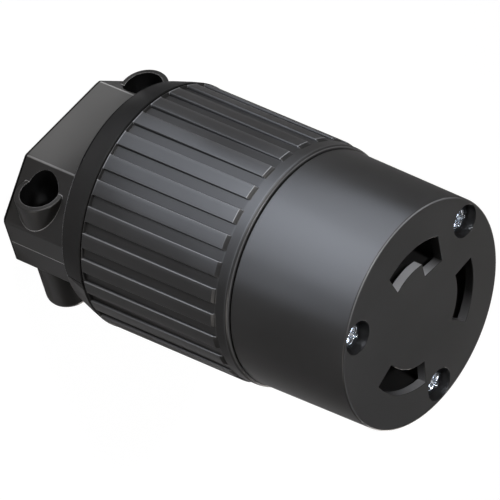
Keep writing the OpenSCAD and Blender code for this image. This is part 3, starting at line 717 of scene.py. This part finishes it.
def grip_rows():
    """The shell's closed section as rows of radius, height, rib height and ring: 1 where the ribs are
    joined round. The rise at the back and the rounding of the rim follow a sine and a cosine."""
    foot = GRIP_Z + RIB_LIP
    ring_end, finish = foot + RING_LEN, BAND_Z - RIB_BEVEL
    slope = (RIB_FRONT_H - RIB_REAR_H) / (finish - foot)
    rise = np.radians(np.linspace(0, 90, 6))
    height = lambda z: RIB_REAR_H + slope * (z - foot)
    swell = lambda t: RIB_REAR_H * (0.35 + 0.65 * np.sin(t))
    rib = [(SHELL_R, foot, 0.0, 1.0)]
    rib += [(SHELL_R, foot + 0.1 * (1 - np.cos(t)), swell(t), 1.0) for t in rise]
    rib += [(SHELL_R, ring_end + d, height(ring_end + d), soft_step(d, RIB_EDGE)) for d in EDGE_POINTS]
    rib += [(SHELL_R, z, height(z), 0.0) for z in np.linspace(ring_end + 0.4, finish - 0.15, 8)]
    bevel = np.linspace(0, 1, 5) ** 1.3
    rib += [(SHELL_R, finish + RIB_BEVEL * t, RIB_FRONT_H * (1 - 0.88 * t), 0.0) for t in bevel]
    rib += [(SHELL_R, BAND_Z + 0.03, 0.0, 0.0), (SHELL_R, BAND_Z + 0.3, 0.0, 0.0)]
    turn = np.radians(np.linspace(0, 90, 9))
    rim_start = RIM_Z - RIM_ROUND_LEN
    rim = [(SHELL_R, z, 0.0, 0.0) for z in np.linspace(BAND_Z + 1.0, rim_start - 0.15, 4)]
    bend = lambda t: (SHELL_R - RIM_ROUND * (1 - np.cos(t)), rim_start + RIM_ROUND_LEN * np.sin(t))
    rim += [(*bend(t), 0.0, 0.0) for t in turn]
    lining = rounded(
        [(SHELL_R - RIM_ROUND - 0.3, RIM_Z), (SHELL_BORE_R, RIM_Z), (SHELL_BORE_R, SEAT_Z),
         (CHAMBER_R, SEAT_Z), (CHAMBER_R, CHAMBER_Z), (NECK_BORE_R, CHAMBER_Z), (NECK_BORE_R, FLANGE_LOW),
         (FLANGE_R, FLANGE_LOW), (FLANGE_R, FLANGE_HIGH), (NECK_R, FLANGE_HIGH), (NECK_R, GRIP_Z),
         (SHELL_R, GRIP_Z), (SHELL_R, foot)],
        (0.15, 0.1, 0.1, 0.5, 0.3, 0.3, 0.3, 0.2, 0.3, 0.1, 0.1), 3)[:-1]
    plain = np.column_stack([lining, np.zeros((len(lining), 2))])
    return np.vstack([np.array(rib), np.array(rim), plain])


def grip_grid():
    """Radius = row radius + row rib height times the larger of the row's ring and the window there."""
    angle, window = rib_window()
    rows = grip_rows()
    radius = rows[:, :1] + rows[:, 2:3] * np.maximum(window, rows[:, 3:])
    return around(radius, angle, rows[:, 1:2])


def screw_boss(angle):
    """A pillar with a blind seat for a threaded insert, turned about the screw's axis."""
    low, high = CHAMBER_Z - 1.3, SEAT_Z - 0.15
    section = [(0.0, low), (BOSS_R, low), (BOSS_R, high), (INSERT_SEAT_R, high),
               (INSERT_SEAT_R, high - INSERT_LEN), (0.0, high - INSERT_LEN)]
    return turned(rounded(section, (0.2, 0.2, 0.2, 0.2), 4), 48, polar(SCREW_RING_R, angle))


bosses = [(screw_boss(angle), False) for angle in SCREW_ANGLES]
grip = make_piece("grip", [(grip_grid(), True)] + bosses, nylon)
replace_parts(grip, "grip_shell")


def bell(distance, width=0.08):
    """1 at distance 0, falling to nothing a few widths away."""
    return np.exp(-(distance / width) ** 2)


def rib_distance(x, y):
    """The turn from the middle of the nearest rib, in radians, and the distance in mm out from its
    side."""
    pitch = 2 * np.pi / RIB_COUNT
    from_rib = (np.arctan2(y, x) - np.radians(RIB_FIRST) + pitch / 2) % pitch - pitch / 2
    return from_rib, np.abs(from_rib) * SHELL_R - pitch * SHELL_R * RIB_SHARE / 2


def lit_side(x, y, last):
    """1 from -X round through -Y up to the last angle in degrees, and 0 past it."""
    return soft_step(np.degrees(np.arctan2(y, x)) - last, 3)


def grip_painted_light(x, y, z):
    """Painted highlights: a bell about each side of a rib, stronger on one crest than on the other, above
    the tube only. The ribs' ends get painted highlights on the lit side of the grip, and the rim along
    two lines."""
    from_rib, from_side = rib_distance(x, y)
    at_bevel = bell(z - BAND_Z + RIB_BEVEL) + bell(z - BAND_Z + 0.1)
    at_ring = bell(z - GRIP_Z - RIB_LIP - RING_LEN)
    radius = np.hypot(x, y)
    sides = np.where(from_rib < 0, CREST_LIGHT, HEEL_LIGHT) * bell(from_side + 0.05)
    ends = END_LIGHT * (at_bevel + at_ring) * (from_side < 0.05) * lit_side(x, y, END_LIGHT_LAST)
    rim = RIM_LIGHT * bell(z - RIM_Z + 0.12, 0.1) + RIM_FOOT_LIGHT * bell(z - RIM_Z + RIM_ROUND_LEN, 0.1)
    on_ribs = (radius > SHELL_R + 0.03) & (z < BAND_Z)
    on_rim = (radius > SHELL_R - RIM_ROUND - 0.1) & (z > BAND_Z + 1)
    return (sides + ends) * on_ribs + rim * on_rim


def groove_skin(x, y, z):
    """The mould's matt skin: a fixed share of it in the grooves, on the ribs' bevels, and on the band
    past the angle where the lit side ends."""
    radius = np.hypot(x, y)
    between = (z > GRIP_Z + RIB_LIP + RING_LEN) & (z < BAND_Z - 0.05)
    in_groove = (np.abs(radius - SHELL_R) < 0.12) & between
    on_bevel = (radius > SHELL_R + 0.03) & (z > BAND_Z - RIB_BEVEL + 0.1) & (z < BAND_Z - 0.1)
    on_band = (radius > SHELL_R - 0.05) & (z > BAND_Z + 0.1)
    band = BAND_MATT * (1 - lit_side(x, y, BAND_GLOSS_LAST))
    return GROOVE_MATT * in_groove + BEVEL_MATT * on_bevel + band * on_band


def rib_foot(x, y, z):
    """The foot of a rib's wall is darker, because little light gets there: a bell just outside the
    rib's side, from the ring to the band."""
    from_side = rib_distance(x, y)[1]
    on_grip = (z > GRIP_Z + RIB_LIP + RING_LEN) & (z < BAND_Z - 0.3) & (np.hypot(x, y) > SHELL_R - 0.1)
    return FOOT_SHADE * bell(from_side - 0.05, 0.06) * on_grip


# Painted highlights on the ribs, their ends and the rim.
set_mask(grip, "painted_light", grip_painted_light)
set_mask(grip, "matt", groove_skin)
# Painted shade at the foot of each rib's wall.
set_mask(grip, "shaded", rib_foot)

# %% [markdown]
# The two clamp halves grip the cord of a real connector. They keep their CAD shape, with sharp edges
# softened in the shading. In the CAD they stay a fifth of a millimetre apart, so that the solids
# never touch, and light from behind would show through that split. They could be built anew like the
# nose, but most of their shape is plain. So each half is a copy of its CAD mesh with the points
# merged, and the points on the split move until the halves all but meet. The bevel round the collar's
# front edge is made finer in the same way, by moving its two rings of points.

# %% Clamp halves
CLAMP_HALF_GAP, SPLIT_SEEN, NEAR, SHARP_ANGLE = 0.1, 0.01, 0.005, 28
COLLAR_R, COLLAR_BEVEL, COLLAR_EDGE = SHELL_R + RIB_REAR_H + 0.1, 0.5, 0.2


def clamp_half(name, node):
    """A merged copy of a CAD half. A point whose |y| is the half gap moves to a |y| of a hundredth of a
    millimetre, and the rings of the collar's front bevel move to the finer bevel's height and
    radius."""
    work = bmesh.new()
    work.from_mesh(nodes[node].data)
    work.transform(nodes[node].matrix_world)
    bmesh.ops.remove_doubles(work, verts=work.verts, dist=0.001 * MM)
    loose = sum(not e.is_manifold for e in work.edges)
    points = np.array([v.co for v in work.verts])
    faces = [[v.index for v in f.verts] for f in work.faces]
    work.free()
    on_split = np.abs(np.abs(points[:, 1]) - CLAMP_HALF_GAP * MM) < NEAR * MM
    points[on_split, 1] = np.sign(points[on_split, 1]) * SPLIT_SEEN * MM
    front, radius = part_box(node)[1].z, np.hypot(points[:, 0], points[:, 1])
    at_height = lambda z: np.abs(points[:, 2] - z) < NEAR * MM
    outer = at_height(front - COLLAR_BEVEL * MM) & (radius > (COLLAR_R - 0.1) * MM)
    inner = at_height(front) & (np.abs(radius - (COLLAR_R - COLLAR_BEVEL) * MM) < 10 * NEAR * MM)
    points[outer, 2] = front - COLLAR_EDGE * MM
    points[inner, :2] *= ((COLLAR_R - COLLAR_EDGE) * MM / radius[inner])[:, None]
    mesh = bpy.data.meshes.new(name)
    mesh.from_pydata(points, [], faces)
    mesh.polygons.foreach_set("use_smooth", np.ones(len(faces), bool))
    mesh.set_sharp_from_angle(angle=math.radians(SHARP_ANGLE))
    mesh.materials.append(nylon_cad)
    half = new_object(name, mesh)
    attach(half, "root")
    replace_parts(half, node)
    print(name, len(faces), "faces,", loose, "open edges,", on_split.sum(), "points on the split,",
          outer.sum() + inner.sum(), "on the collar's bevel")


clamp_half("cord_cap", "clamp_cap")
clamp_half("cord_base", "clamp_base")

# %% [markdown]
# Two metals: the long screws are steel with a bright zinc skin, and the contacts, plates, inserts and
# wiring screws are brass. Both mirror their surroundings, so a small change of roughness is what
# shows age. One even gloss would do, but it looks new and flat. Here fine scratches are noise that is
# stretched along one axis, and a duller film lies in patches.

# %% Finish: metals
ZINC_CLEAN, ZINC_DULL = (0.90, 0.95, 1.0, 1), (0.72, 0.78, 0.86, 1)
BRASS_CLEAN, BRASS_DULL = (0.80, 0.60, 0.27, 1), (0.60, 0.42, 0.19, 1)
FILM_SCALE, SCRATCH_SCALE, SCRATCH_STRETCH = 420, 5200, 0.12
ZINC_ROUGHNESS, BRASS_ROUGHNESS = (0.14, 0.26), (0.28, 0.40)
SCRATCH_DEPTH, STAMPED_EDGE = 0.01, 0.12


def worked_metal(name, clean, dimmed, smooth_to_rough, edge_radius=0.0, scratched=0.3):
    """A metal with a film in patches and with stretched scratches; an edge radius softens CAD edges."""
    material = bpy.data.materials.new(name)
    tree = node_tree(material)
    coords = tree.nodes.new("ShaderNodeTexCoord").outputs["Object"]
    squash = add(tree, "ShaderNodeMapping", Vector=coords, Scale=(1.0, SCRATCH_STRETCH, 1.0))
    film = noise(tree, coords, FILM_SCALE, 4.0, 0.6)
    scratches = noise(tree, squash.outputs["Vector"], SCRATCH_SCALE)
    colour = blend_colours(tree, spread(tree, film, 0.0, 1.0), clean, dimmed)
    roughness = spread(tree, film, *smooth_to_rough)
    normal = soft_edge(tree, edge_radius, 6) if edge_radius else None
    normal = bump(tree, scratches, SCRATCH_DEPTH * MM, scratched, normal)
    show(tree, add(tree, "ShaderNodeBsdfPrincipled", Metallic=1.0, Base_Color=colour, Roughness=roughness,
                   Normal=normal))
    return material


zinc = worked_metal("zinc_bright", ZINC_CLEAN, ZINC_DULL, ZINC_ROUGHNESS, scratched=0.06)
brass = worked_metal("brass_turned", BRASS_CLEAN, BRASS_DULL, BRASS_ROUGHNESS)
brass_cad = worked_metal("brass_stamped", BRASS_CLEAN, BRASS_DULL, BRASS_ROUGHNESS, STAMPED_EDGE * MM)
print("zinc and brass")

# %% [markdown]
# Three pan-head screws hold the nose to the grip, two more close the clamp, and three of brass hold
# the wires. The thread could be made with a Screw modifier and joined to a head, but one grid for the
# whole screw has no seam: its rows run from the middle of the head over the crown, down the side,
# along the shank and to the point. The cross recess is a depth that is taken off the crown where
# either of two arms lies. The thread is a helix: the radius falls in a wave whose phase is the turn
# minus the distance travelled.

# %% Screws
THREAD_R, THREAD_PITCH, THREAD_DEPTH = 1.75, 0.6, 0.32
HEAD_R, HEAD_H, HEAD_CROWN, CROWN_POWER, CROWN_SHARE = 3.45, 2.85, 0.85, 2.6, 0.93
RECESS_W, RECESS_SPAN, RECESS_DEPTH = 0.9, 3.6, 1.3
SCREW_BITE, FACE_THREAD, CLAMP_SEAT, CLAMP_LEN, CLAMP_THREAD = 8.0, 12.0, 2.5, 13.0, 11.0
TERMINAL_R, TERMINAL_Z, TERMINAL_LEN, TERMINAL_THREAD = 16.1, 51.1, 7.0, 6.0
TERMINAL_ANGLES = (156.8, 49.2, -93.0)
FACE_TWISTS, CLAMP_TWISTS, TERMINAL_TWISTS = (20, 65, 40), (30, 75), (10, 50, 80)


def recess_depth(x, y):
    """How deep the cross is: the deeper of two arms, each a soft window in width and length that
    narrows and shallows outwards."""
    across = lambda u, v: soft_step(np.abs(v) - RECESS_W / 2 * (1 - 0.25 * np.abs(u)))
    arm = lambda u, v: across(u, v) * soft_step(np.abs(u) - RECESS_SPAN / 2)
    shallow = 1 - 0.45 * np.clip(np.hypot(x, y) / (RECESS_SPAN / 2), 0, 1)
    return RECESS_DEPTH * np.maximum(arm(x, y), arm(y, x)) * shallow


def thread_wave(turns):
    """One ridge per turn with straight flanks, from 0 on its flat crest to 1 in the root."""
    return np.clip(1.4 * np.abs(2 * (turns % 1.0) - 1) - 0.2, 0, 1)


def screw_grid(length, threaded, columns=64):
    """Rows from the head's middle to the point, with the head's seat at height 0 and the point
    downwards. The crown falls with a power of the radius."""
    angle = np.linspace(0, 2 * np.pi, columns, endpoint=False)
    rho = np.concatenate([np.linspace(0, 2.0, 26), np.linspace(2.15, CROWN_SHARE * HEAD_R, 7)])[:, None]
    x, y = rho * np.cos(angle), rho * np.sin(angle)
    crown = HEAD_H - HEAD_CROWN * (rho / HEAD_R) ** CROWN_POWER - recess_depth(x, y)
    top = around(rho, angle, crown)
    crown_end = (CROWN_SHARE * HEAD_R, HEAD_H - HEAD_CROWN * CROWN_SHARE ** CROWN_POWER)
    section = [crown_end, (HEAD_R, HEAD_H - HEAD_CROWN), (HEAD_R, 0.0), (THREAD_R, 0.0),
               (THREAD_R, -length + threaded + 0.6)]
    body = turned(rounded(section, (0.2, 0.15, 0.05), 4)[1:], columns)
    z = np.arange(-length + threaded, -length, -THREAD_PITCH / 6)[:, None]
    run_in = np.clip((z[0] - z) / THREAD_PITCH, 0, 1) * np.clip((z + length) / 0.4, 0, 1)
    wave = thread_wave(angle / (2 * np.pi) - z / THREAD_PITCH)
    point = np.clip((z + length) / 0.8, 0, 1)
    radius = THREAD_R - 0.4 * (1 - point) - THREAD_DEPTH * wave * run_in
    thread = around(radius, angle, z)
    end = turned(np.array([(THREAD_R - 0.42, -length), (0.0, -length)]), columns)
    return np.concatenate([top, body, thread, end])


def placed(grid, matrix):
    """Moves a grid by a four by four matrix."""
    values = np.array(matrix)
    return grid @ values[:3, :3].T + values[:3, 3]


def turn_about(axis, angle):
    """A turn about X, Y or Z by an angle in degrees."""
    return Matrix.Rotation(math.radians(angle), 4, axis)


def face_axis(angle, twist):
    """Upright on the screw ring, with the head in its well in the face."""
    x, y = polar(SCREW_RING_R, angle)
    return Matrix.Translation((x, y, HEAD_SEAT_Z)) @ turn_about("Z", twist)


def clamp_axis(side, height, twist):
    """Along -Y, at one side of the clamp and at a height above the split."""
    turn = turn_about("X", 90) @ turn_about("Z", twist)
    return Matrix.Translation((side * CLAMP_SCREW_X, -height, CLAMP_SCREW_Z)) @ turn


def terminal_axis(angle, twist):
    """Straight out from the connector's axis, at the height of the terminals."""
    out = turn_about("Z", angle) @ Matrix.Translation((TERMINAL_R, 0, TERMINAL_Z))
    return out @ turn_about("Y", 90) @ turn_about("Z", twist)


for i, (angle, twist) in enumerate(zip(SCREW_ANGLES, FACE_TWISTS), 1):
    grid = placed(screw_grid(HEAD_SEAT_Z - SEAT_Z + SCREW_BITE, FACE_THREAD), face_axis(angle, twist))
    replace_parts(make_piece(f"nose_screw_{i}", [(grid, False)], zinc), f"face_screw_{i}")
for i, (side, twist) in enumerate(zip((-1, 1), CLAMP_TWISTS), 1):
    grid = placed(screw_grid(CLAMP_LEN, CLAMP_THREAD), clamp_axis(side, CLAMP_SEAT, twist))
    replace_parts(make_piece(f"cord_screw_{i}", [(grid, False)], zinc), f"clamp_screw_{i}")
for i, (angle, twist) in enumerate(zip(TERMINAL_ANGLES, TERMINAL_TWISTS), 1):
    grid = placed(screw_grid(TERMINAL_LEN, TERMINAL_THREAD), terminal_axis(angle, twist))
    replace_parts(make_piece(f"wire_screw_{i}", [(grid, False)], brass), f"terminal_screw_{i}")

# %% [markdown]
# The inserts are brass sleeves pressed into the plastic. A straight knurl stops them from turning.
# Its teeth could be copied round with an Array modifier, but a wave of the radius needs no joining,
# and it leaves one plain groove for the plastic to flow into. The thread inside is the screw's helix
# again. So the rows run down the outside and up the bore, and close into one sleeve.

# %% Threaded inserts
INSERT_R, KNURL_TEETH, KNURL_DEPTH, INSERT_BORE_R = 2.9, 28, 0.16, 1.8


def insert_grid(columns=112):
    """Rows run down the knurled outside and up the threaded bore, and they close, so both rims are
    covered. The knurl is a triangle wave of the angle, and the bore's thread is the screw's wave turned
    inside out."""
    angle = np.linspace(0, 2 * np.pi, columns, endpoint=False)
    band = np.array([0.0, 0.03, 0.06, 0.36, 0.40, 0.45, 0.55, 0.60, 0.64, 0.94, 0.97, 1.0])[:, None]
    waist = np.array([0.3, 0.1, 0.0, 0.0, 0.05, 0.36, 0.36, 0.05, 0.0, 0.0, 0.1, 0.3])[:, None]
    turns = angle / (2 * np.pi)
    ridge = np.where(waist < 0.05, KNURL_DEPTH, 0.0) * np.abs(2 * ((KNURL_TEETH * turns) % 1.0) - 1)
    radius = INSERT_R - waist - ridge
    outside = around(radius, angle, -INSERT_LEN * band)
    z = np.arange(-INSERT_LEN, 0.001, THREAD_PITCH / 5)[:, None]
    ends = np.clip(np.minimum(z + INSERT_LEN, -z) / 0.5, 0, 1)
    ridges = 1 - thread_wave(turns - z / THREAD_PITCH)
    bore = INSERT_BORE_R + 0.25 * (1 - ends) + 0.2 * ends * ridges
    return np.concatenate([outside, around(bore, angle, z)])


for i, angle in enumerate(SCREW_ANGLES, 1):
    x, y = polar(SCREW_RING_R, angle)
    grid = placed(insert_grid(), Matrix.Translation((x, y, SEAT_Z)))
    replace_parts(make_piece(f"grip_insert_{i}", [(grid, True)], brass), f"screw_insert_{i}")
for i, side in enumerate((-1, 1), 1):
    grid = placed(insert_grid(), clamp_axis(side, -CLAMP_HALF_GAP, 0))
    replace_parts(make_piece(f"cord_insert_{i}", [(grid, True)], brass), f"clamp_insert_{i}")

# %% [markdown]
# Behind the slots sit three sprung contacts, their wire plates and the carrier that keeps them apart.
# They could be built anew like the screws, but almost nothing of them can be seen. So they keep their
# CAD shape and only get their finish.

# %% Inner pieces
insulator = satin_nylon("insulator_moulded", 0.2 * MM)
finishes = {name: brass_cad for name in ("line_contact_1", "line_contact_2", "ground_contact")}
finishes |= {f"wire_plate_{i}": brass_cad for i in (1, 2, 3)}
finishes["contact_carrier"] = insulator
for name, material in finishes.items():
    nodes[name].data.materials.clear()
    nodes[name].data.materials.append(material)
print("brass on contacts and plates, insulator on the carrier")
